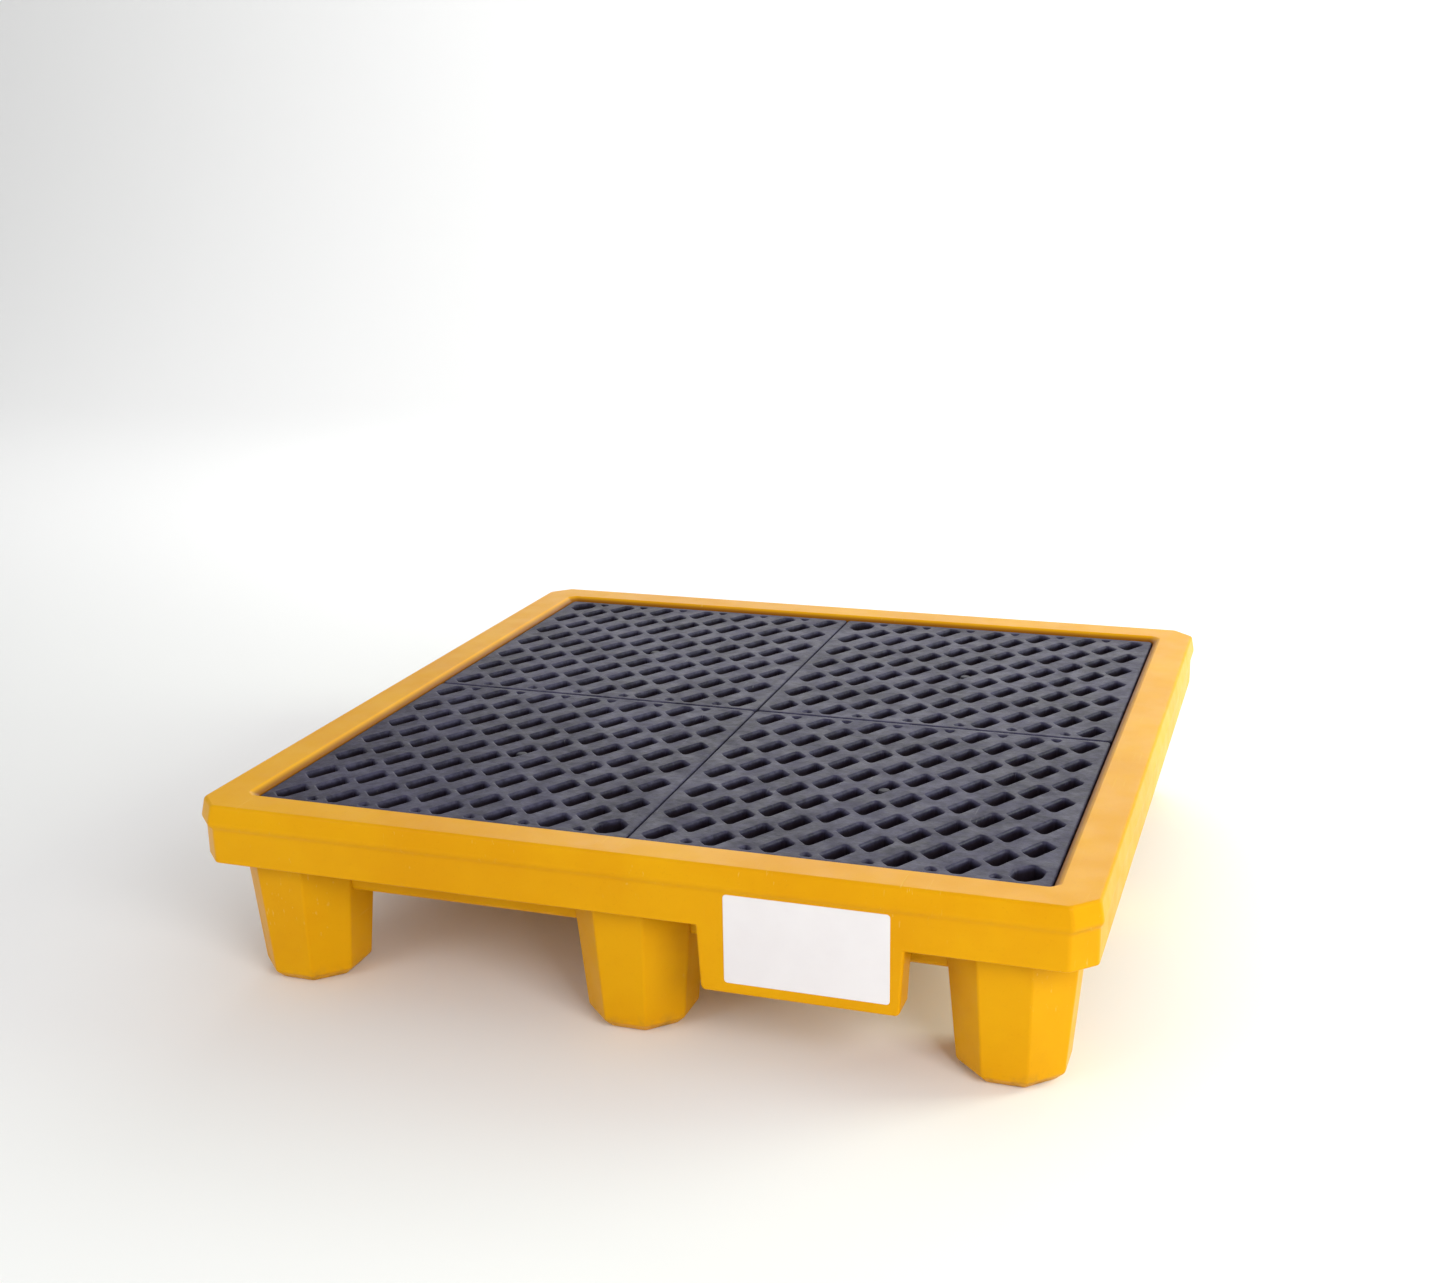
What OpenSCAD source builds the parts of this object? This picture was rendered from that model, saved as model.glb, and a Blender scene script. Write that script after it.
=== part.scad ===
// Four-drum spill containment pallet: a moulded sump tray on nine hollow legs, four lift-out
// grates on a ledge and on loose support columns, and a blank label on the front apron.
// Origin on the floor at the centre of the tray. Front (label side) faces -Y, up is +Z.

/* [Overall] */
// Width of the pallet across the rim lip
overall_w = 1346; // [1150:1:1650]
// Depth of the pallet across the rim lip
overall_d = 1346; // [1150:1:1650]
// Height from the floor to the top of the rim
overall_h = 298; // [250:1:380]
// Thickness of the moulded tray skin
wall = 6; // [4:0.5:8]

/* [Rim] */
// Width of the flat top of the rim
rim_top_w = 56; // [40:1:75]
// Depth of the rim from its top to its lower edge
rim_h = 92; // [75:1:110]
// How far the lip stands out past the top edge
lip_out = 5; // [3:0.5:14]
// Drop from the top of the rim to the widest line of the lip
lip_drop = 31; // [15:1:40]
// Height of the step under the lip
lip_step = 8; // [4:1:15]
// How far the band under the lip tapers in to its lower edge
band_taper = 4; // [1:0.5:12]
// Size of the flat cut across each outer corner
corner_cut = 34; // [20:1:70]

/* [Sump] */
// Clear height between the floor and the underside of the sump
fork_h = 144; // [110:1:170]
// Distance from the rim's top edge in to the outside of the sump wall
sump_setback = 81; // [70:1:95]
// Draft of the sump wall over its height
sump_draft = 10; // [4:1:20]

/* [Legs] */
// Width of a leg across its flats where it leaves the sump
leg_top_w = 190; // [150:1:220]
// Width of a leg across its flats just above the foot
leg_foot_w = 150; // [110:1:185]
// Distance from the lip in to the centre of the outer legs
leg_inset = 126; // [118:1:170]
// Size of the bevel round the foot
foot_bevel = 14; // [5:1:25]

/* [Label apron] */
// Width of the apron at its lower edge
apron_w = 280; // [200:1:290]
// How far the apron hangs below the rim's lower edge
apron_drop = 96; // [90:1:115]
// Depth of the apron from front to back
apron_t = 45; // [30:1:60]
// Draft on each side of the apron
apron_draft = 6; // [2:1:12]
// Width of the blank label
label_w = 232; // [150:1:240]
// Height of the blank label
label_h = 130; // [90:1:135]
// Thickness of the blank label
label_t = 0.8; // [0.4:0.1:2]
// Distance from the apron's lower edge to the label's lower edge
label_rise = 17; // [10:1:30]
// Distance of the label's middle to the right of the apron's middle
label_shift = 11; // [-15:1:15]

/* [Grates] */
// Thickness of a grate
grate_t = 45; // [35:1:55]
// How far the top of the grates lies below the top of the rim
grate_drop = 7.5; // [3:0.5:15]
// Gap round every grate
grate_gap = 2; // [1:0.5:4]
// Width of the solid border round a grate
grate_border = 13; // [8:1:25]
// Thickness of the grate's skin over the cored pockets
grate_skin = 8; // [4:1:14]
// Distance between neighbouring rows of slots, in both directions
slot_pitch = 43.6; // [40:0.1:55]
// Length of a slot
slot_l = 47; // [40:1:54]
// Width of a slot
slot_w = 25; // [18:0.5:27]
// Direction of a slot from the X axis
slot_angle = 61; // [55:1:65]
// Length of the flat cut along each side of a slot's corners
slot_cut = 4; // [1:0.5:7]
// Wall between a slot and the cored pocket beside it
rib_t = 5.5; // [4:0.5:8]

/* [Support columns] */
// Diameter of a column at its foot
column_foot_d = 86; // [60:1:110]
// Diameter of a column at its head
column_head_d = 68; // [50:1:90]
// Thickness of a column's wall
column_wall = 5; // [3:0.5:8]
// Diameter of the post that enters a grate's middle slot
post_d = 20; // [10:1:23]
// Gap between a column's foot and the ring that locates it
column_gap = 1.5; // [0.5:0.5:4]
// Height of the locating rings on the sump floor
seat_h = 8; // [4:1:14]

/* [Hidden] */
$fn = 64;

eps = 0.01;
// How much a flat corner cut grows when its outline is offset outwards by one
cut_growth = 2 - sqrt(2);
min_cut = 2;

// Heights above the floor
z_lip = overall_h - lip_drop;
z_band = z_lip - lip_step;
z_rim_low = overall_h - rim_h;
z_grate_top = overall_h - grate_drop;
z_ledge = z_grate_top - grate_t;
z_floor = fork_h + wall;
z_leg_cap = z_ledge - wall;

// Plan outlines: [half width, half depth, corner cut]
rim_edge = [overall_w / 2 - lip_out, overall_d / 2 - lip_out, corner_cut];
rim_inner = grown(rim_edge, -rim_top_w);
pocket_taper = 12;
pocket = grown(rim_inner, -pocket_taper);
sump_top = grown(rim_edge, -sump_setback);
sump_low = grown(sump_top, -sump_draft);

// Legs: rows of three in both directions
leg_x = overall_w / 2 - leg_inset;
leg_y = overall_d / 2 - leg_inset;
LEG_SPOTS = [for (i = [-1:1], j = [-1:1]) [i * leg_x, j * leg_y]];

// Grates: two by two inside the pocket
grate_w = pocket[0] - 1.5 * grate_gap;
grate_d = pocket[1] - 1.5 * grate_gap;
grate_x = (grate_w + grate_gap) / 2;
grate_y = (grate_d + grate_gap) / 2;
field_w = grate_w - 2 * grate_border;
field_d = grate_d - 2 * grate_border;
slot_cols = ceil(field_w / 2 / slot_pitch) + 1;
slot_rows = ceil(field_d / 2 / slot_pitch) + 1;
last_col = floor((field_w / 2 - slot_w / 2) / slot_pitch);
last_row = floor((field_d / 2 - slot_w / 2) / slot_pitch);
// The hand hole takes the outermost slot position of the staggered pattern in its corner
hand_row = (last_col + last_row) % 2 == 0 ? last_row : last_row - 1;
hand_hole_d = slot_w + 15;
bar_angle = -45;
// Centre to centre across the long side of neighbouring slots
slot_spacing = slot_pitch * sqrt(2) * sin(slot_angle - bar_angle);
pocket_w = slot_spacing - slot_w - 2 * rib_t;
pocket_l = slot_l - 2 * rib_t;

// Columns
column_z = z_floor;
column_h = z_ledge - z_floor;
centre_column_h = z_ledge - wall;
seam_x = leg_x / 2;
seam_y = leg_y / 2;
post_h = grate_t - 4;

// Apron and label: the apron hangs midway between the middle leg and the right one
apron_x = leg_x / 2;
apron_front = rim_edge[1];
apron_z = z_rim_low - apron_drop;
label_x = apron_x + label_shift;
label_z = apron_z + label_rise;

// An outline moved outwards by e, its corner cuts following
function grown(o, e) = [o[0] + e, o[1] + e, max(min_cut, o[2] + cut_growth * e)];

// The eight corners of a rectangle with cut corners, anticlockwise from above
function corners(o) =
    let (w = o[0], d = o[1], c = o[2])
    [[-w + c, -d], [w - c, -d], [w, -d + c], [w, d - c],
     [w - c, d], [-w + c, d], [-w, d - c], [-w, -d + c]];

// A regular octagon of the given width across flats, as an outline
function octagon(across) = [across / 2, across / 2, across / 2 * cut_growth];

// A solid between the outline low at height z0 and the outline high at height z1
module taper(low, high, z0, z1) {
    points = concat([for (p = corners(low)) [p[0], p[1], z0]],
                    [for (p = corners(high)) [p[0], p[1], z1]]);
    sides = [for (i = [0:7]) [i, i + 8, (i + 1) % 8 + 8, (i + 1) % 8]];
    polyhedron(points, concat([[for (i = [0:7]) i]], [[for (i = [0:7]) 15 - i]], sides));
}

// The outside of the rim, less inset all round and cap at the top
module rim_form(inset, cap) {
    edge = grown(rim_edge, -inset);
    taper(grown(edge, lip_out), edge, z_lip - eps, overall_h - cap);
    taper(edge, grown(edge, lip_out), z_band - eps, z_lip);
    taper(grown(edge, -band_taper), grown(edge, 0), z_rim_low - (inset > 0 ? 1 : 0), z_band);
}

// One leg with its foot bevel; inset shrinks it to the well inside
module leg_form(inset, z_top) {
    foot = octagon(leg_foot_w - 2 * inset);
    taper(grown(foot, -foot_bevel), foot, inset, foot_bevel + inset / 2);
    taper(foot, octagon(leg_top_w - 2 * inset), foot_bevel + inset / 2 - eps, z_top);
}

// The apron block; inset shrinks it to the hollow inside
module apron_form(inset) {
    half_low = apron_w / 2 - inset;
    half_high = half_low + apron_draft;
    z_low = apron_z + inset;
    translate([apron_x, -apron_front + inset, 0])
        rotate([90, 0, 0])
            mirror([0, 0, 1])
                linear_extrude(apron_t - 2 * inset)
                    polygon([[-half_low, z_low], [half_low, z_low],
                             [half_high, z_rim_low], [half_high, z_band - inset],
                             [-half_high, z_band - inset], [-half_high, z_rim_low]]);
}

module sump_form(inset) {
    z_high = z_ledge + (inset > 0 ? eps : -wall);
    taper(grown(sump_low, -inset), grown(sump_top, -inset), fork_h + inset, z_high);
}

module column_seat(x, y) {
    inner = column_foot_d / 2 + column_gap;
    translate([x, y, z_floor - 1])
        difference() {
            cylinder(h = seat_h + 1, r = inner + wall);
            translate([0, 0, -1]) cylinder(h = seat_h + 3, r = inner);
        }
}

// Everything that the tray's skin encloses, before it is hollowed from above
module tray_outside() {
    difference() {
        rim_form(0, 0);
        rim_form(wall, wall);
    }
    difference() {
        union() {
            taper(grown(pocket, wall), grown(pocket, wall), z_leg_cap, z_grate_top);
            taper(grown(pocket, wall), grown(rim_inner, wall), z_grate_top - eps, overall_h - wall / 2);
        }
        taper(grown(sump_top, -wall), grown(sump_top, -wall), z_leg_cap - 1, z_leg_cap + 1);
    }
    sump_form(0);
    for (p = LEG_SPOTS) translate([p[0], p[1], 0]) leg_form(0, z_leg_cap);
    apron_form(0);
}

module tray_inside() {
    taper(pocket, rim_inner, z_grate_top, overall_h + eps);
    taper(pocket, pocket, z_ledge, z_grate_top + eps);
    sump_form(wall);
    for (p = LEG_SPOTS) translate([p[0], p[1], 0]) leg_form(wall, z_leg_cap - wall);
}

module sump_tray() {
    color("orange") {
        difference() {
            tray_outside();
            tray_inside();
            apron_form(wall);
        }
        for (sx = [-1, 1], sy = [-1, 1]) column_seat(sx * grate_x, sy * grate_y);
        for (s = [-1, 1]) {
            column_seat(s * seam_x, 0);
            column_seat(0, s * seam_y);
        }
    }
}

module label_sheet() {
    color("white")
        translate([label_x - label_w / 2, -apron_front - label_t, label_z])
            cube([label_w, label_t, label_h]);
}

// A skewed rectangle: long sides along slot_angle, ends along the diagonal bars
function skewed(length, width) =
    let (skew = sin(slot_angle - bar_angle),
         a = length / 2 / skew * [cos(slot_angle), sin(slot_angle)],
         b = width / 2 / skew * [cos(bar_angle), sin(bar_angle)])
    [a + b, -a + b, -a - b, a - b];

// A point at the given distance from p towards q
function towards(p, q, distance) = p + distance * (q - p) / norm(q - p);

// A skewed slot with a flat cut across each corner
module slot_shape() {
    c = skewed(slot_l, slot_w);
    polygon([for (i = [0:3], next = [3, 1]) towards(c[i], c[(i + next) % 4], slot_cut)]);
}

// The staggered positions of the slots; shift moves them on to the bars between
module staggered(shift) {
    for (i = [-slot_cols:slot_cols], j = [-slot_rows:slot_rows])
        if ((i + j) % 2 == 0) translate([i * slot_pitch + shift, j * slot_pitch - shift]) children();
}

module slot_field() {
    intersection() {
        square([field_w, field_d], center = true);
        staggered(0) slot_shape();
    }
    translate([last_col * slot_pitch, -hand_row * slot_pitch]) circle(d = hand_hole_d);
}

module core_field() {
    intersection() {
        square([field_w - 2 * rib_t, field_d - 2 * rib_t], center = true);
        staggered(slot_pitch / 2) polygon(skewed(pocket_l, pocket_w));
    }
}

module grate(x, y, turn) {
    color("dimgray")
        translate([x, y, z_ledge])
            rotate([0, 0, turn])
                difference() {
                    linear_extrude(grate_t)
                        difference() {
                            square([grate_w, grate_d], center = true);
                            slot_field();
                        }
                    translate([0, 0, -1]) linear_extrude(grate_t - grate_skin + 1) core_field();
                }
}

module column(x, y, z, height) {
    foot_r = column_foot_d / 2;
    head_r = column_head_d / 2;
    color("gray")
        translate([x, y, z])
            difference() {
                cylinder(h = height, r1 = foot_r, r2 = head_r);
                translate([0, 0, -eps])
                    cylinder(h = height - column_wall, r1 = foot_r - column_wall, r2 = head_r - column_wall);
            }
}

module post_column(x, y) {
    color("gray") {
        column(x, y, column_z, column_h);
        translate([x, y, z_ledge - column_wall / 2]) cylinder(h = post_h + column_wall / 2, d = post_d);
    }
}

sump_tray();
label_sheet();
grate(-grate_x, -grate_y, 0);  // grate_front_left
grate(grate_x, -grate_y, 0);  // grate_front_right
grate(-grate_x, grate_y, 180);  // grate_back_left
grate(grate_x, grate_y, 180);  // grate_back_right
column(0, 0, wall, centre_column_h);  // column_centre
column(0, -seam_y, column_z, column_h);  // column_front
column(0, seam_y, column_z, column_h);  // column_back
column(-seam_x, 0, column_z, column_h);  // column_left
column(seam_x, 0, column_z, column_h);  // column_right
post_column(-grate_x, -grate_y);  // post_column_front_left
post_column(grate_x, -grate_y);  // post_column_front_right
post_column(-grate_x, grate_y);  // post_column_back_left
post_column(grate_x, grate_y);  // post_column_back_right
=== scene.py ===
"""Spill containment pallet: the looks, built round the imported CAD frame. Lengths are in metres."""

import math

import bmesh
import bpy
from mathutils import Matrix, Vector, geometry


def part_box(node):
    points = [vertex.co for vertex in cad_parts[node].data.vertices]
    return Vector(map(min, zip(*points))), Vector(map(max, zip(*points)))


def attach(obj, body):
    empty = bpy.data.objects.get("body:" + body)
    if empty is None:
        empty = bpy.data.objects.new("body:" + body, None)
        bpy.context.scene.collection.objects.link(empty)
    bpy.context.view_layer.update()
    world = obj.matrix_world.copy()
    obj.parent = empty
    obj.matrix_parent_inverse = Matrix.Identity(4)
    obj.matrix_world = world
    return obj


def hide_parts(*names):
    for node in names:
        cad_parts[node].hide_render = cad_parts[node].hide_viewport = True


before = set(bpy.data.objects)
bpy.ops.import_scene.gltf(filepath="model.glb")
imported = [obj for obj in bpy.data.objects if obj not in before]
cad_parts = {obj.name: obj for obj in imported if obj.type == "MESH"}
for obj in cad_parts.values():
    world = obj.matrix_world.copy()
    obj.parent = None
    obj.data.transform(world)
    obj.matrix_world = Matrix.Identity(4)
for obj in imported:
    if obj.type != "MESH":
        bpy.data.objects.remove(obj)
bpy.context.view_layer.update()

MM = 0.001

# Heights, half widths and other sizes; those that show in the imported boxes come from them
_, tray_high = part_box("sump_tray")
HALF = tray_high.x
TOP = tray_high.z
grate_low, grate_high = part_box("grate_front_right")
LEDGE = grate_low.z
GRATE_TOP = grate_high.z
GRATE_HALF = (grate_high.x - grate_low.x) / 2
GRATE_SPOT = (grate_high.x + grate_low.x) / 2
label_low, label_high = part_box("label_sheet")
WALL = 6 * MM
EDGE = HALF - 5 * MM
LIP_Z = TOP - 31 * MM
BAND_Z = LIP_Z - 8 * MM
RIM_LOW = TOP - 92 * MM
RIM_INNER = EDGE - 56 * MM
POCKET = RIM_INNER - 12 * MM
SUMP_TOP = EDGE - 81 * MM
SUMP_LOW = SUMP_TOP - 10 * MM
FORK = 144 * MM
FLOOR = FORK + WALL
LEG_SPOT = HALF - 126 * MM
LEG_TOP = 95 * MM
LEG_FOOT = 75 * MM
FOOT_BEVEL = 14 * MM
APRON_X = LEG_SPOT / 2
APRON_LOW = RIM_LOW - 96 * MM
APRON_HALF = 140 * MM
APRON_DRAFT = 6 * MM
APRON_DEPTH = 45 * MM
SEAT_RADIUS = 44.5 * MM
SEAT_HEIGHT = 8 * MM
SLOT_PITCH = 43.6 * MM
SLOT_LENGTH = 47 * MM
SLOT_WIDTH = 25 * MM
SLOT_ANGLE = math.radians(61)
BAR_ANGLE = math.radians(-45)
HAND_HOLE = 20 * MM
GRATE_BORDER = 13 * MM
GRATE_SKIN = 8 * MM
RIB = 5.5 * MM
COLUMN_WALL = 5 * MM
POST_RADIUS = 10 * MM

# Plastic colours, linear RGB: a lighter and a darker tone of each
AMBER = (0.74, 0.36, 0.0015, 1), (0.69, 0.31, 0.0008, 1)
GRATE_TONES = (0.052, 0.048, 0.092, 1), (0.012, 0.0105, 0.024, 1)
COLUMN_TONES = (0.035, 0.034, 0.046, 1), (0.022, 0.021, 0.030, 1)


# ---- Plane outlines: convex polygons as lists of 2-D points, anticlockwise ----


def rectangle(half_x, half_y):
    corners = ((-half_x, -half_y), (half_x, -half_y), (half_x, half_y), (-half_x, half_y))
    return [Vector(p) for p in corners]


def octagon(half):
    reach = half * math.tan(math.pi / 8)
    quarter = [Vector((half, -reach)), Vector((half, reach))]
    return [Matrix.Rotation(k * math.pi / 2, 2) @ p for k in range(4) for p in quarter]


def outward(a, b):
    """The unit normal of the side from a to b, pointing out of an anticlockwise polygon."""
    side = (b - a).normalized()
    return Vector((side.y, -side.x))


def clipped(polygon, normal, limit):
    """The part of a convex polygon where the distance along normal is at most limit."""
    kept = []
    for a, b in zip(polygon, polygon[1:] + polygon[:1]):
        da, db = a.dot(normal) - limit, b.dot(normal) - limit
        if da <= 0:
            kept.append(a)
        if da * db < 0:
            kept.append(a.lerp(b, da / (da - db)))
    return kept


def inset(polygon, distance):
    """A convex polygon moved in by distance; an empty list if nothing is left of it."""
    left = polygon
    for a, b in zip(polygon, polygon[1:] + polygon[:1]):
        if (b - a).length < 1e-7:
            continue
        normal = outward(a, b)
        left = clipped(left, normal, a.dot(normal) - distance)
    cleaned = [p for i, p in enumerate(left) if (p - left[i - 1]).length > 0.2 * MM]
    return cleaned if len(cleaned) > 2 else []


def area(polygon):
    return sum(a.cross(b) for a, b in zip(polygon, polygon[1:] + polygon[:1])) / 2


def around(core, distance, steps=4):
    """The loop of points at one distance outside a convex polygon."""
    loop = []
    count = len(core)
    for i, p in enumerate(core):
        before = outward(core[i - 1], p)
        after = outward(p, core[(i + 1) % count])
        turn = before.angle_signed(after, 0.0)
        for k in range(steps + 1):
            loop.append(p + distance * (Matrix.Rotation(-turn * k / steps, 2) @ before))
    return loop


def filleted(points, closed=False, steps=4):
    """A line of (u, v, radius) points with each corner rounded to its radius."""
    found = []
    count = len(points)
    for i, (u, v, radius) in enumerate(points):
        p = Vector((u, v))
        if radius <= 0 or (not closed and i in (0, count - 1)):
            found.append(p)
            continue
        a = (Vector(points[i - 1][:2]) - p).normalized()
        b = (Vector(points[(i + 1) % count][:2]) - p).normalized()
        half = a.angle(b) / 2
        centre = p + (a + b).normalized() * radius / math.sin(half)
        start = p + a * radius / math.tan(half) - centre
        end = p + b * radius / math.tan(half) - centre
        turn = start.angle_signed(end, 0.0)
        found += [centre + Matrix.Rotation(-turn * k / steps, 2) @ start for k in range(steps + 1)]
    return found


# ---- Surfaces: points and faces gathered ring by ring ----


class Surface:
    """Points and faces of one closed mesh."""

    def __init__(self):
        self.points = []
        self.faces = []

    def ring(self, points):
        first = len(self.points)
        self.points += [Vector(p) for p in points]
        return list(range(first, len(self.points)))

    def level(self, loop, z):
        return self.ring([(p.x, p.y, z) for p in loop])

    def bridge(self, low, high):
        for i in range(len(low)):
            self.faces.append([low[i - 1], low[i], high[i], high[i - 1]])

    def loft(self, rings):
        for low, high in zip(rings, rings[1:]):
            self.bridge(low, high)

    def closed_loft(self, rings):
        self.loft(rings)
        self.faces += [rings[0], rings[-1]]

    def sheet(self, border, holes):
        """Fills the level surface between a border ring and the rings of its holes."""
        rings = [border, *holes]
        order = [i for ring in rings for i in ring]
        flat = [Vector(self.points[i][:2]) for i in order]
        loops, start = [], 0
        for ring in rings:
            loops.append(list(range(start, start + len(ring))))
            start += len(ring)
        found = geometry.delaunay_2d_cdt(flat, [], loops, 1, 1e-8)
        sources, triangles, parents = found[3], found[2], found[5]
        for triangle, parent in zip(triangles, parents):
            if list(parent) == [0]:
                self.faces.append([order[sources[v][0]] for v in triangle])

    def made(self, name):
        """The mesh as an object in the scene, its faces turned outwards."""
        mesh = bpy.data.meshes.new(name)
        mesh.from_pydata(self.points, [], self.faces)
        tidy = bmesh.new()
        tidy.from_mesh(mesh)
        bmesh.ops.recalc_face_normals(tidy, faces=tidy.faces)
        tidy.to_mesh(mesh)
        tidy.free()
        made = bpy.data.objects.new(name, mesh)
        bpy.context.scene.collection.objects.link(made)
        return made


def combined(target, tools, operation):
    """Joins tools to target, or cuts them out of it, and removes them."""
    for tool in tools:
        step = target.modifiers.new("step", "BOOLEAN")
        step.operation = operation
        step.solver = "MANIFOLD"
        step.object = tool
        bpy.context.view_layer.update()
        shapes = bpy.context.evaluated_depsgraph_get()
        result = bpy.data.meshes.new_from_object(target.evaluated_get(shapes))
        target.modifiers.clear()
        target.data = result
        bpy.data.objects.remove(tool)
    return target


def smoothed(piece, sharp_over=40):
    """Smooth shading with flat faces kept flat, and edges over an angle kept sharp."""
    mesh = piece.data
    mesh.shade_smooth()
    mesh.set_sharp_from_angle(angle=math.radians(sharp_over))
    step = piece.modifiers.new("normals", "WEIGHTED_NORMAL")
    step.keep_sharp = True
    step.weight = 80
    return piece


def finished(piece, body, nodes, material):
    piece.data.materials.clear()
    piece.data.materials.append(material)
    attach(piece, body)
    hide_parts(*nodes)
    return smoothed(piece)


def circle(radius, z, x=0.0, y=0.0, count=48):
    angles = [math.tau * k / count for k in range(count)]
    return [(x + radius * math.cos(a), y + radius * math.sin(a), z) for a in angles]


# ---- The sump tray ----


def tray_outline(half):
    """Loop round the tray at a half width: its corner cuts are wide outside and narrow inside."""
    share = min(1.0, max(0.0, (half - POCKET) / (EDGE - POCKET)))
    cut = (8 + 26 * share) * MM
    radius = 11 * MM
    low, high = -half, half
    corners = [
        (low + cut, low), (high - cut, low), (high, low + cut), (high, high - cut),
        (high - cut, high), (low + cut, high), (low, high - cut), (low, low + cut),
    ]
    core = inset([Vector(p) for p in corners], radius)
    return around(core, radius, 4)


def tray_body():
    """The rim, ledge, sump wall and floor as one closed loft, without legs."""
    level = 30 * MM
    profile = [
        (SUMP_LOW - WALL - level, FLOOR, 0),
        (SUMP_LOW - WALL, FLOOR, 10 * MM),
        (SUMP_TOP - WALL, LEDGE, 2.5 * MM),
        (POCKET, LEDGE, 3 * MM),
        (POCKET, GRATE_TOP, 6 * MM),
        (RIM_INNER, TOP, 4 * MM),
        (EDGE, TOP, 5.5 * MM),
        (HALF, LIP_Z, 12 * MM),
        (EDGE, BAND_Z, 12 * MM),
        (EDGE, RIM_LOW, 2.8 * MM),
        (EDGE - WALL, RIM_LOW, 2.8 * MM),
        (EDGE - WALL, BAND_Z, 3 * MM),
        (HALF - WALL, LIP_Z, 3 * MM),
        (EDGE - WALL, TOP - WALL, 5 * MM),
        (RIM_INNER + WALL, TOP - WALL, 5 * MM),
        (POCKET + WALL, GRATE_TOP, 5 * MM),
        (POCKET + WALL, LEDGE - WALL, 2.5 * MM),
        (SUMP_TOP, LEDGE - WALL, 5 * MM),
        (SUMP_LOW, FORK, 12 * MM),
        (SUMP_LOW - level, FORK, 0),
    ]
    body = Surface()
    rings = [body.level(tray_outline(p.x), p.y) for p in filleted(profile)]
    body.closed_loft(rings)
    return body.made("tray_shell")


def sump_core():
    """A block that fills the sump to the middle of its walls, for trimming the legs."""
    core = Surface()
    half = WALL / 2
    low = core.level(tray_outline(SUMP_LOW - half), FLOOR - half)
    high = core.level(tray_outline(SUMP_TOP - half), LEDGE + 20 * MM)
    core.closed_loft([low, high])
    return core.made("sump_core")


def leg_loft(name, x, y, skin, top, rounding):
    """One tapered eight-sided leg; skin shrinks it to the well inside."""
    bevel_top = FOOT_BEVEL + skin / 2
    profile = [
        (LEG_FOOT - skin - FOOT_BEVEL - 20 * MM, skin, 0),
        (LEG_FOOT - skin - FOOT_BEVEL, skin, 7 * MM),
        (LEG_FOOT - skin, bevel_top, 9 * MM),
        (LEG_TOP - skin, top, 0),
    ]
    leg = Surface()
    rings = []
    for p in filleted(profile):
        loop = around(inset(octagon(p.x), rounding), rounding, 3)
        rings.append(leg.ring([(q.x + x, q.y + y, p.y) for q in loop]))
    leg.closed_loft(rings)
    return leg.made(name)


def apron_block():
    """The hanging apron: level with the rim's band, filleted into it, its front edges rounded."""
    half_high = APRON_HALF + APRON_DRAFT
    hidden_half = half_high + 18 * MM
    join = RIM_LOW + 3 * MM
    hidden_top = BAND_Z - 8 * MM
    side = [
        (APRON_HALF, APRON_LOW, 8 * MM),
        (half_high, join, 7 * MM),
        (hidden_half, join, 7 * MM),
        (hidden_half, hidden_top, 7 * MM),
    ]
    outline = filleted(side + [(-u, v, r) for u, v, r in reversed(side)], closed=True, steps=5)
    count = len(outline)
    normals = []
    for i, p in enumerate(outline):
        a, b = outward(outline[i - 1], p), outward(p, outline[(i + 1) % count])
        normals.append((a + b) / (1 + a.dot(b)))
    block = Surface()
    radius, steps = 4.5 * MM, 5
    rings = []
    for k in range(steps + 1):
        turn = math.pi / 2 * k / steps
        back = radius * (1 - math.cos(turn))
        shrink = radius * (1 - math.sin(turn))
        loop = [p - n * shrink for p, n in zip(outline, normals)]
        rings.append(block.ring([(p.x + APRON_X, -EDGE + back, p.y) for p in loop]))
    rings.append(block.ring([(p.x + APRON_X, -EDGE + APRON_DEPTH, p.y) for p in outline]))
    block.closed_loft(rings)
    return block.made("apron_block")


def locating_ring(x, y):
    """The low ring on the sump floor round a column's foot."""
    outer = SEAT_RADIUS + WALL
    top, root = FLOOR + SEAT_HEIGHT, FLOOR - WALL / 2
    profile = [
        (outer + 4 * MM, root, 0),
        (outer + 1 * MM, FLOOR, 2 * MM),
        (outer, top, 2 * MM),
        (SEAT_RADIUS, top, 2 * MM),
        (SEAT_RADIUS, root, 0),
    ]
    ring = Surface()
    rings = [ring.ring(circle(p.x, p.y, x, y)) for p in filleted(profile, steps=3)]
    ring.loft(rings + rings[:1])
    return ring.made("locating_ring")


def make_tray(material):
    spots = [(i * LEG_SPOT, j * LEG_SPOT) for i in (-1, 0, 1) for j in (-1, 0, 1)]
    leg_top, well_top = LEDGE - 0.75 * WALL, LEDGE - 2 * WALL
    leg_corner, well_corner = 7.5 * MM, 4 * MM
    legs = [leg_loft("leg", x, y, 0.0, leg_top, leg_corner) for x, y in spots]
    wells = [leg_loft("well", x, y, WALL, well_top, well_corner) for x, y in spots]
    for leg in legs:
        combined(leg, [sump_core()], "DIFFERENCE")
    seam = LEG_SPOT / 2
    seats = [(s * GRATE_SPOT, t * GRATE_SPOT) for s in (-1, 1) for t in (-1, 1)]
    seats += [(seam, 0), (-seam, 0), (0, seam), (0, -seam)]
    tray = tray_body()
    combined(tray, legs + [apron_block()] + [locating_ring(x, y) for x, y in seats], "UNION")
    combined(tray, wells, "DIFFERENCE")
    tray.name = "tray_moulding"
    return finished(tray, "tray", ["sump_tray"], material)


# ---- The grates ----


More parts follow.
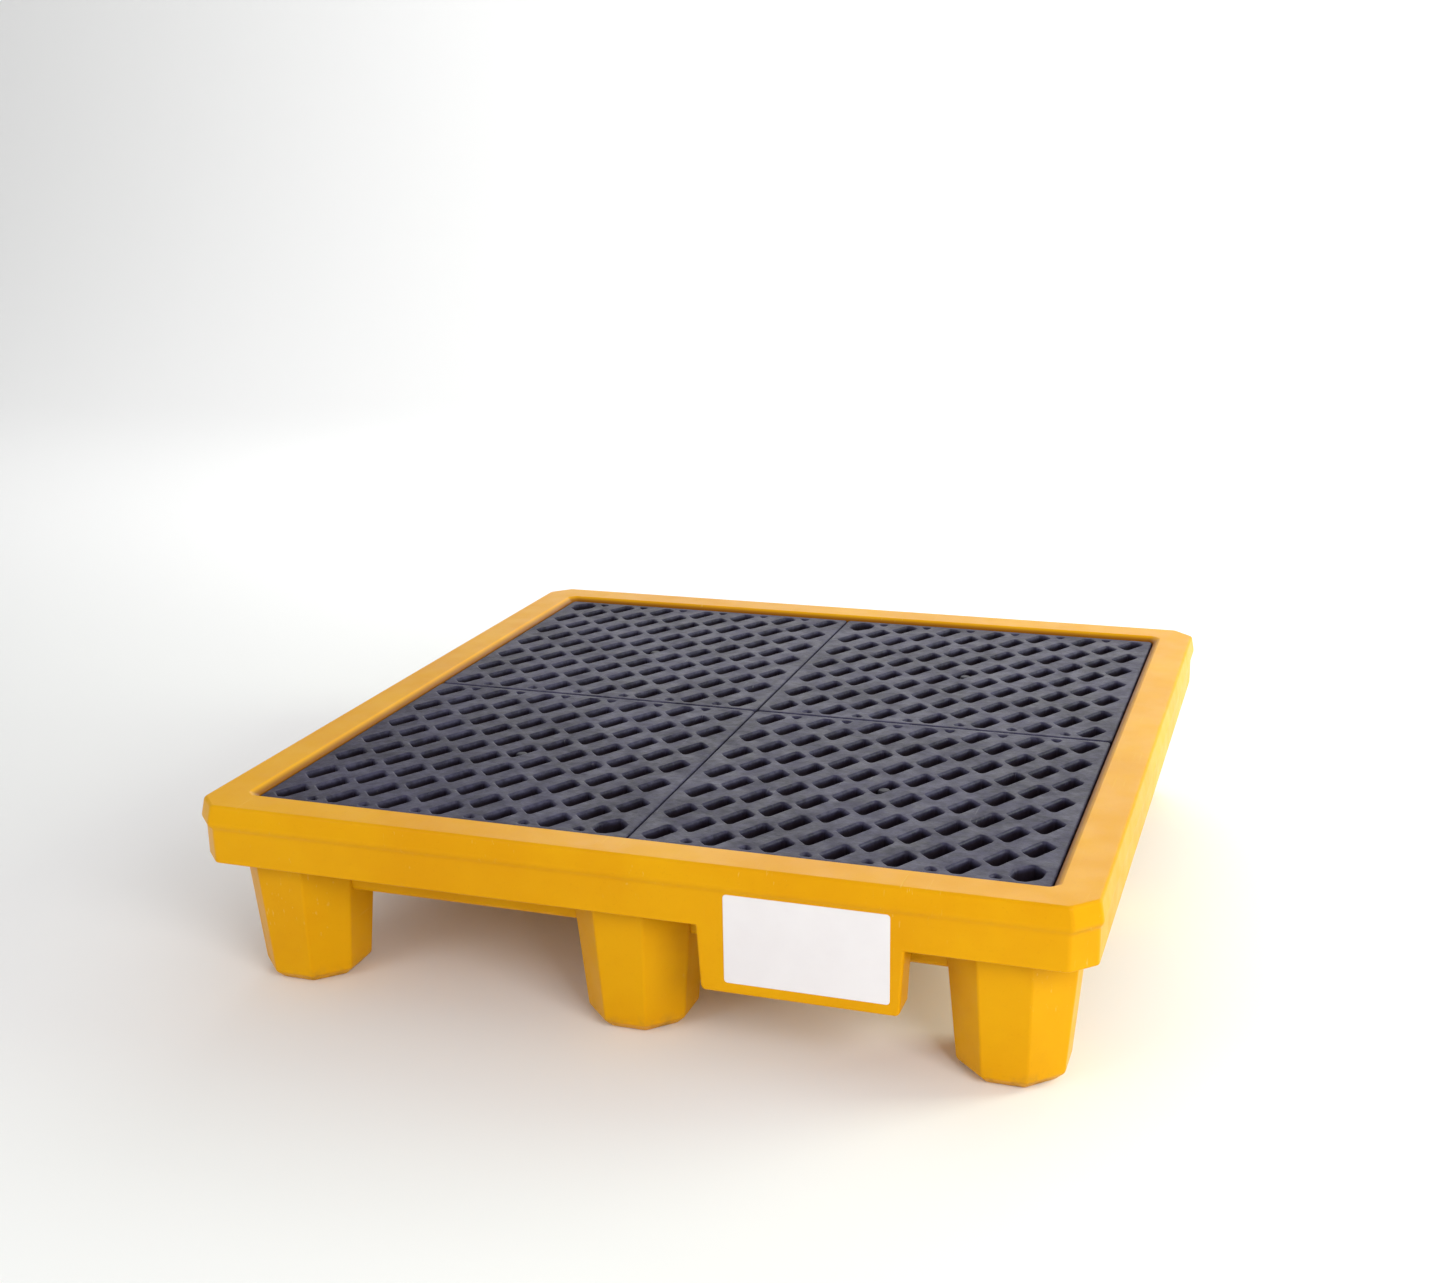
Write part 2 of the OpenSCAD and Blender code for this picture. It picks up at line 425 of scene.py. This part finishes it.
def skewed(length, width):
    """A skewed rectangle: long sides along SLOT_ANGLE, ends along BAR_ANGLE."""
    skew = math.sin(SLOT_ANGLE - BAR_ANGLE)
    a = Vector((math.cos(SLOT_ANGLE), math.sin(SLOT_ANGLE))) * length / 2 / skew
    b = Vector((math.cos(BAR_ANGLE), math.sin(BAR_ANGLE))) * width / 2 / skew
    return [a + b, a - b, -a - b, -a + b]


def hull(points):
    """The convex outline of some points, anticlockwise."""
    ordered = [points[i] for i in geometry.convex_hull_2d(points)]
    return ordered if area(ordered) > 0 else ordered[::-1]


def in_field(polygon, half):
    for normal in (Vector((1, 0)), Vector((-1, 0)), Vector((0, 1)), Vector((0, -1))):
        polygon = clipped(polygon, normal, half)
    return polygon


def staggered(shape, half, shift=0.0):
    """A shape repeated on the staggered pattern and trimmed to the field."""
    reach = int(half / SLOT_PITCH) + 2
    found = {}
    for i in range(-reach, reach + 1):
        for j in range(-reach, reach + 1):
            if (i + j) % 2:
                continue
            at = Vector((i * SLOT_PITCH + shift, j * SLOT_PITCH - shift))
            piece = in_field([p + at for p in shape], half)
            if len(piece) > 2 and area(piece) > 25 * MM * MM:
                found[i, j] = piece
    return found


def hand_hole(field):
    """The outermost slot position in the corner that holds the hand hole."""
    count = int((field - SLOT_WIDTH / 2) / SLOT_PITCH)
    return count, Vector((count * SLOT_PITCH, -count * SLOT_PITCH))


def grate_slots(field):
    """Cores of the slots, and of the round-ended hand hole in the outer front corner."""
    rounding, tight = 3.5 * MM, 1.5 * MM
    outlines = staggered(skewed(SLOT_LENGTH, SLOT_WIDTH), field)
    hand, spot = hand_hole(field)
    disc = [spot + Vector(p[:2]) for p in circle(HAND_HOLE, 0.0, count=20)]
    outlines[hand, -hand] = hull(outlines[hand, -hand] + disc)
    cores = []
    for outline in outlines.values():
        for size in (rounding, tight):
            core = inset(outline, size)
            if core and area(core) > 4 * MM * MM:
                cores.append((core, size))
                break
    return cores


def make_grate(name, body, node, turned, material):
    """One quarter grate with rounded slots, a solid border and a cored underside."""
    depth = GRATE_TOP - LEDGE
    field = GRATE_HALF - GRATE_BORDER
    spot = hand_hole(field)[1]
    grate = Surface()
    corner, edge, lip, foot = 8 * MM, 3.5 * MM, 4.4 * MM, 1.2 * MM
    hand_hole_room = 50 * MM
    square = inset(rectangle(GRATE_HALF, GRATE_HALF), corner)

    def wall(core, size, out, top_round):
        """Rings down one wall, from the top face to the underside; out is -1 on a border."""
        rings = []
        for k in range(4, -1, -1):
            turn = math.pi / 2 * k / 4
            loop = around(core, size + out * top_round * (1 - math.cos(turn)), 3)
            rings.append(grate.level(loop, depth - top_round * (1 - math.sin(turn))))
        for k in (0, 1):
            rings.append(grate.level(around(core, size + out * foot * k, 3), foot * (1 - k)))
        grate.loft(rings)
        return rings[0], rings[-1]

    top_border, low_border = wall(square, corner, -1, edge)
    slots = [wall(core, size, 1, lip) for core, size in grate_slots(field)]
    skew = math.sin(SLOT_ANGLE - BAR_ANGLE)
    spacing = SLOT_PITCH * math.sqrt(2) * skew
    pocket = skewed(SLOT_LENGTH - 2 * RIB, spacing - SLOT_WIDTH - 2 * RIB)
    pockets = []
    for outline in staggered(pocket, field - 2 * RIB, SLOT_PITCH / 2).values():
        core = inset(outline, 2 * MM)
        if not core or area(core) < 9 * MM * MM or (core[0] - spot).length < hand_hole_room:
            continue
        rings = []
        roof = depth - GRATE_SKIN
        for distance, z in ((3.0, 0.0), (2.0, 1 * MM), (1.7, roof - 1 * MM), (0.7, roof)):
            rings.append(grate.level(around(core, distance * MM, 3), z))
        grate.loft(rings)
        grate.faces.append(rings[-1])
        pockets.append(rings[0])
    grate.sheet(top_border, [top for top, _ in slots])
    grate.sheet(low_border, [low for _, low in slots] + pockets)
    low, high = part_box(node)
    place = Matrix.Translation(((low.x + high.x) / 2, (low.y + high.y) / 2, low.z))
    if turned:
        place = place @ Matrix.Rotation(math.pi, 4, "Z")
    grate.points = [place @ p for p in grate.points]
    return finished(grate.made(name), body, [node], material)


# ---- Columns and label ----


def make_column(node, post, material):
    """A fluted hollow column with a foot flange and, under a grate's middle, a post."""
    low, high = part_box(node)
    x, y = (low.x + high.x) / 2, (low.y + high.y) / 2
    head = LEDGE if post else high.z
    foot_r = (high.x - low.x) / 2
    body_r, head_r, skin = foot_r - 5.5 * MM, 33 * MM, COLUMN_WALL
    outside = [
        (foot_r, low.z, 1.5 * MM),
        (foot_r, low.z + 6 * MM, 2 * MM),
        (body_r, low.z + 11 * MM, 5 * MM),
        (head_r, head - 7 * MM, 6 * MM),
        (head_r + 1 * MM, head, 3 * MM),
    ]
    if post:
        outside += [
            (POST_RADIUS, head, 4 * MM),
            (POST_RADIUS - 0.6 * MM, high.z, 3 * MM),
        ]
    inside = [
        (12 * MM, head - skin, 0),
        (head_r - skin, head - skin, 6 * MM),
        (body_r - skin, low.z + 8 * MM, 3 * MM),
        (foot_r - skin, low.z, 1.5 * MM),
    ]
    tip = 4 * MM
    end_z = high.z if post else head
    steps = 3
    line = filleted(inside + outside + [(tip, end_z, 0)], steps=steps)
    flute_from, flute_to = low.z + 12 * MM, head - 8 * MM
    flute_depth, flutes, count = 1.6 * MM, 8, 64
    column = Surface()
    rings = []
    inner = (steps + 1) * len(inside) - steps
    for number, p in enumerate(line):
        fluted = number > inner and flute_from < p.y < flute_to and p.x > 20 * MM
        ring = []
        for k in range(count):
            angle = math.tau * k / count
            radius = p.x
            if fluted:
                radius -= flute_depth * max(0.0, math.cos(flutes * angle)) ** 2
            ring.append((x + radius * math.cos(angle), y + radius * math.sin(angle), p.y))
        rings.append(column.ring(ring))
    column.closed_loft(rings)
    return finished(column.made(node + "_moulding"), "tray", [node], material)


def make_label(material):
    """The blank label: a thin sheet with rounded corners and softened edges."""
    half_x = (label_high.x - label_low.x) / 2
    half_z = (label_high.z - label_low.z) / 2
    x, z = (label_high.x + label_low.x) / 2, (label_high.z + label_low.z) / 2
    core = inset(rectangle(half_x, half_z), 5 * MM)
    thick = label_high.y - label_low.y
    label = Surface()
    rings = []
    for distance, share in ((5.0, 0.0), (5.0, 0.55), (4.8, 0.88), (4.4, 1.0), (3.0, 1.0)):
        loop = around(core, distance * MM, 5)
        rings.append(label.ring([(p.x + x, label_high.y - share * thick, p.y + z) for p in loop]))
    label.closed_loft(rings)
    return finished(label.made("blank_label"), "tray", ["label_sheet"], material)


# ---- Materials ----


class Nodes:
    """Short forms for building one material's node tree."""

    def __init__(self, name):
        self.material = bpy.data.materials.new(name)
        self.material.use_nodes = True
        self.tree = self.material.node_tree
        self.shader = self.tree.nodes["Principled BSDF"]
        self.where = self.add("ShaderNodeTexCoord").outputs["Object"]

    def add(self, kind, **settings):
        node = self.tree.nodes.new(kind)
        for name, value in settings.items():
            setattr(node, name, value)
        return node

    def feed(self, socket, value):
        if isinstance(value, bpy.types.NodeSocket):
            self.tree.links.new(value, socket)
        else:
            socket.default_value = value

    def stretched(self, scale, turn=(0, 0, 0)):
        node = self.add("ShaderNodeMapping")
        self.feed(node.inputs["Vector"], self.where)
        node.inputs["Scale"].default_value = scale
        node.inputs["Rotation"].default_value = turn
        return node.outputs["Vector"]

    def noise(self, scale, detail=3.0, rough=0.55, vector=None):
        node = self.add("ShaderNodeTexNoise")
        self.feed(node.inputs["Vector"], vector or self.where)
        node.inputs["Scale"].default_value = scale
        node.inputs["Detail"].default_value = detail
        node.inputs["Roughness"].default_value = rough
        return node.outputs["Fac"]

    def ranged(self, value, low, high, out_low=0.0, out_high=1.0):
        node = self.add("ShaderNodeMapRange", interpolation_type="SMOOTHSTEP")
        for socket, number in zip(node.inputs[:5], (value, low, high, out_low, out_high)):
            self.feed(socket, number)
        return node.outputs["Result"]

    def math(self, operation, a, b):
        node = self.add("ShaderNodeMath", operation=operation)
        self.feed(node.inputs[0], a)
        self.feed(node.inputs[1], b)
        return node.outputs["Value"]

    def mixed(self, share, a, b):
        """Colour a, and the given share of colour b; the node's sockets 6, 7 and 2 are its colour ones."""
        node = self.add("ShaderNodeMix", data_type="RGBA")
        self.feed(node.inputs["Factor"], share)
        self.feed(node.inputs[6], a)
        self.feed(node.inputs[7], b)
        return node.outputs[2]

    def bump(self, height, distance, strength, below=None):
        node = self.add("ShaderNodeBump")
        node.inputs["Strength"].default_value = strength
        node.inputs["Distance"].default_value = distance
        self.feed(node.inputs["Height"], height)
        if below is not None:
            self.feed(node.inputs["Normal"], below)
        return node.outputs["Normal"]

    def height(self):
        node = self.add("ShaderNodeSeparateXYZ")
        self.feed(node.inputs["Vector"], self.where)
        return node.outputs["Z"]

    def reach(self):
        """How far out from the middle, along X or Y, whichever is more."""
        node = self.add("ShaderNodeSeparateXYZ")
        self.feed(node.inputs["Vector"], self.where)
        out = [self.math("ABSOLUTE", node.outputs[axis], 0.0) for axis in "XY"]
        return self.math("MAXIMUM", *out)


def scratches(nodes):
    """A mask of sparse fine scratches that run in two directions."""
    masks = []
    for turn, scale in (((0.2, 0.3, 0.5), (240, 9, 60)), ((0.1, -0.4, 2.0), (200, 7, 80))):
        lines = nodes.noise(1.0, 2.0, 0.5, nodes.stretched(scale, turn))
        masks.append(nodes.ranged(lines, 0.68, 0.74))
    where = nodes.ranged(nodes.noise(7.0, 2.0), 0.52, 0.66)
    return nodes.math("MULTIPLY", nodes.math("MAXIMUM", *masks), where)


def painted_gap_shade(nodes):
    """A mask for painted shade on the ledge, in the gap between the grates and the rim and up the rim's
    inner wall.
    """
    above = nodes.ranged(nodes.height(), LEDGE - 2 * MM, LEDGE - 1 * MM)
    below = nodes.ranged(nodes.height(), GRATE_TOP + 1 * MM, TOP, 1.0, 0.0)
    inside = nodes.ranged(nodes.reach(), RIM_INNER - 5 * MM, RIM_INNER + 1 * MM, 1.0, 0.0)
    return nodes.math("MULTIPLY", nodes.math("MULTIPLY", above, below), inside)


def tray_plastic():
    """Amber polyethylene: faint mottling, a fine moulded grain, scuffs, floor dirt and painted shade round
    the grates.
    """
    nodes = Nodes("amber_polyethylene")
    mottle = nodes.ranged(nodes.noise(5.0, 4.0), 0.3, 0.7)
    light, dark = AMBER
    colour = nodes.mixed(mottle, dark, light)
    speckle = nodes.ranged(nodes.noise(260.0, 2.0), 0.6, 0.75, 0.0, 0.12)
    colour = nodes.mixed(speckle, colour, (0.48, 0.19, 0.002, 1))
    worn = scratches(nodes)
    colour = nodes.mixed(nodes.math("MULTIPLY", worn, 0.35), colour, (0.80, 0.52, 0.14, 1))
    low = nodes.ranged(nodes.height(), 0.0, 0.035, 1.0, 0.0)
    dirt = nodes.math("MULTIPLY", low, nodes.ranged(nodes.noise(38.0, 5.0, 0.7), 0.42, 0.68))
    colour = nodes.mixed(nodes.math("MULTIPLY", dirt, 0.5), colour, (0.22, 0.13, 0.05, 1))
    # painted shade: a dark orange-brown on the ledge, in the grate gap and up the rim's inner wall
    colour = nodes.mixed(nodes.math("MULTIPLY", painted_gap_shade(nodes), 0.85), colour, (0.17, 0.045, 0.003, 1))
    nodes.feed(nodes.shader.inputs["Base Color"], colour)
    rough = nodes.ranged(nodes.noise(21.0, 4.0), 0.25, 0.75, 0.3, 0.42)
    rough = nodes.math("ADD", rough, nodes.math("MULTIPLY", worn, 0.2))
    rough = nodes.math("ADD", rough, nodes.math("MULTIPLY", dirt, 0.25))
    nodes.feed(nodes.shader.inputs["Roughness"], rough)
    waves = nodes.bump(nodes.noise(11.0, 2.0), 2.5 * MM, 0.25)
    grain = nodes.bump(nodes.noise(700.0, 3.0, 0.6), 0.12 * MM, 0.5, waves)
    nodes.feed(nodes.shader.inputs["Normal"], nodes.bump(worn, -0.1 * MM, 0.6, grain))
    nodes.shader.inputs["IOR"].default_value = 1.4
    nodes.shader.inputs["Specular IOR Level"].default_value = 0.12
    nodes.shader.inputs["Subsurface Weight"].default_value = 0.12
    nodes.shader.inputs["Subsurface Radius"].default_value = (0.012, 0.006, 0.001)
    nodes.shader.inputs["Subsurface Scale"].default_value = 0.5
    return nodes.material


def dark_plastic(name, tones, scuffed, low_shade_strength):
    """Charcoal polyethylene: mottled and pebbled, scuffed on top, and darkened below the top by painted
    shade.
    """
    light, dark = tones
    nodes = Nodes(name)
    broad = nodes.ranged(nodes.noise(9.0, 4.0), 0.3, 0.7)
    blotch = nodes.ranged(nodes.noise(75.0, 4.0, 0.65), 0.36, 0.66)
    colour = nodes.mixed(nodes.math("MULTIPLY", nodes.math("ADD", broad, blotch), 0.5), dark, light)
    speckle = nodes.ranged(nodes.noise(420.0, 2.0), 0.55, 0.75, 0.0, 0.35)
    colour = nodes.mixed(speckle, colour, [0.55 * c for c in dark[:3]] + [1])
    worn = scratches(nodes)
    patches = nodes.ranged(nodes.noise(26.0, 6.0, 0.7), 0.5, 0.72)
    upper = nodes.ranged(nodes.height(), GRATE_TOP - 4 * MM, GRATE_TOP - 0.5 * MM)
    scuff = nodes.math("MULTIPLY", nodes.math("MULTIPLY", patches, upper), scuffed)
    colour = nodes.mixed(scuff, colour, (0.12, 0.112, 0.15, 1))
    colour = nodes.mixed(nodes.math("MULTIPLY", worn, 0.3), colour, (0.17, 0.165, 0.18, 1))
    # painted shade: near-black, a little brown, deepening from the grate's top down into the slots
    painted_low_shade = nodes.ranged(nodes.height(), GRATE_TOP - 10 * MM, GRATE_TOP - 1 * MM, low_shade_strength, 0.0)
    colour = nodes.mixed(painted_low_shade, colour, (0.008, 0.004, 0.005, 1))
    nodes.feed(nodes.shader.inputs["Base Color"], colour)
    rough = nodes.ranged(nodes.noise(30.0, 4.0), 0.25, 0.75, 0.4, 0.55)
    rough = nodes.math("ADD", rough, nodes.math("MULTIPLY", scuff, 0.5))
    nodes.feed(nodes.shader.inputs["Roughness"], rough)
    waves = nodes.bump(nodes.noise(95.0, 3.0, 0.6), 1.6 * MM, 0.45)
    grain = nodes.bump(nodes.noise(520.0, 3.0, 0.6), 0.25 * MM, 0.55, waves)
    nodes.feed(nodes.shader.inputs["Normal"], nodes.bump(worn, -0.1 * MM, 0.6, grain))
    nodes.shader.inputs["IOR"].default_value = 1.42
    nodes.shader.inputs["Specular IOR Level"].default_value = 0.2
    return nodes.material


def label_vinyl():
    """White satin vinyl with faint handling marks and slight waviness from the plastic under it."""
    nodes = Nodes("white_vinyl")
    mottle = nodes.ranged(nodes.noise(12.0, 4.0), 0.3, 0.7)
    colour = nodes.mixed(mottle, (0.77, 0.735, 0.74, 1), (0.795, 0.765, 0.77, 1))
    marks = nodes.ranged(nodes.noise(60.0, 6.0, 0.7), 0.62, 0.8, 0.0, 0.15)
    colour = nodes.mixed(marks, colour, (0.6, 0.57, 0.55, 1))
    nodes.feed(nodes.shader.inputs["Base Color"], colour)
    rough = nodes.ranged(nodes.noise(18.0, 3.0), 0.3, 0.7, 0.3, 0.42)
    nodes.feed(nodes.shader.inputs["Roughness"], rough)
    waves = nodes.bump(nodes.noise(24.0, 2.0), 0.6 * MM, 0.25)
    nodes.feed(nodes.shader.inputs["Normal"], nodes.bump(nodes.noise(900.0), 0.03 * MM, 0.4, waves))
    nodes.shader.inputs["IOR"].default_value = 1.46
    return nodes.material


# ---- Studio ----


def make_floor():
    """A plain pale floor that curves up into a backdrop far behind the pallet."""
    reach, back, top, bend = 40.0, 7.0, 7.0, 3.0
    floor = Surface()
    line = filleted([(-reach, 0.0, 0), (back, 0.0, bend), (back, top, 0)], steps=16)
    rings = [floor.ring([(-reach, p.x, p.y), (reach, p.x, p.y)]) for p in line]
    for low, high in zip(rings, rings[1:]):
        floor.faces.append([low[0], low[1], high[1], high[0]])
    made = floor.made("studio_floor")
    made.data.shade_smooth()
    nodes = Nodes("pale_floor")
    nodes.shader.inputs["Base Color"].default_value = (0.9, 0.9, 0.9, 1)
    nodes.shader.inputs["Roughness"].default_value = 0.8
    nodes.shader.inputs["Specular IOR Level"].default_value = 0.1
    made.data.materials.append(nodes.material)


def soft_light(name, place, target, size, power, tint=(1, 1, 1)):
    lamp = bpy.data.lights.new(name, "AREA")
    lamp.shape = "RECTANGLE"
    lamp.size, lamp.size_y = size
    lamp.energy = power
    lamp.color = tint
    made = bpy.data.objects.new(name, lamp)
    made.location = place
    made.rotation_euler = (Vector(target) - Vector(place)).to_track_quat("-Z", "Y").to_euler()
    bpy.context.scene.collection.objects.link(made)


def make_lights():
    world = bpy.data.worlds.new("studio")
    world.use_nodes = True
    world.node_tree.nodes["Background"].inputs["Color"].default_value = (1.0, 1.0, 1.0, 1)
    world.node_tree.nodes["Background"].inputs["Strength"].default_value = 0.56
    bpy.context.scene.world = world
    centre = (0.0, 0.0, 0.15)
    soft_light("key", (2.7, -2.9, 2.1), centre, (1.8, 1.8), 78)
    soft_light("right", (3.3, 1.0, 1.5), centre, (1.6, 1.6), 85, (0.9, 1.0, 0.82))
    soft_light("front_left", (-1.8, -3.0, 1.6), centre, (1.6, 1.6), 16)
    soft_light("back", (-0.4, 3.6, 2.2), centre, (3.6, 1.6), 40)
    soft_light("backdrop", (0.0, 3.0, 4.5), (0.0, 7.0, 1.5), (9.0, 2.5), 190)


def make_camera():
    """The camera at the photograph's viewing angle."""
    place = (0.9184, -2.7841, 1.2568)
    yaw, pitch, roll = 0.3374, 0.2800, 0.0204
    ahead = Vector((-math.sin(yaw) * math.cos(pitch), math.cos(yaw) * math.cos(pitch), -math.sin(pitch)))
    right = Vector((math.cos(yaw), math.sin(yaw), 0.0))
    down = ahead.cross(right)
    rolled_right = math.cos(roll) * right + math.sin(roll) * down
    rolled_down = math.cos(roll) * down - math.sin(roll) * right
    lens = bpy.data.cameras.new("camera")
    lens.lens = 45.018
    lens.sensor_width = 36.0
    lens.clip_end = 60.0
    camera = bpy.data.objects.new("camera", lens)
    axes = Matrix((rolled_right, -rolled_down, -ahead)).transposed()
    camera.matrix_world = Matrix.Translation(place) @ axes.to_4x4()
    bpy.context.scene.collection.objects.link(camera)
    bpy.context.scene.camera = camera
    bpy.context.scene.view_settings.view_transform = "Standard"


make_camera()
make_lights()
make_floor()
make_tray(tray_plastic())
# the last number is how strongly painted shade darkens each below the grate's top
grate_material = dark_plastic("charcoal_grate", GRATE_TONES, 0.35, 0.88)
column_material = dark_plastic("charcoal_column", COLUMN_TONES, 0.15, 0.2)
for quarter in ("front_left", "front_right", "back_left", "back_right"):
    body = quarter + "_grate"
    turned = quarter.startswith("back")
    make_grate(body + "_moulding", body, "grate_" + quarter, turned, grate_material)
for node in sorted(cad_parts):
    if "column" in node:
        make_column(node, node.startswith("post_"), column_material)
make_label(label_vinyl())
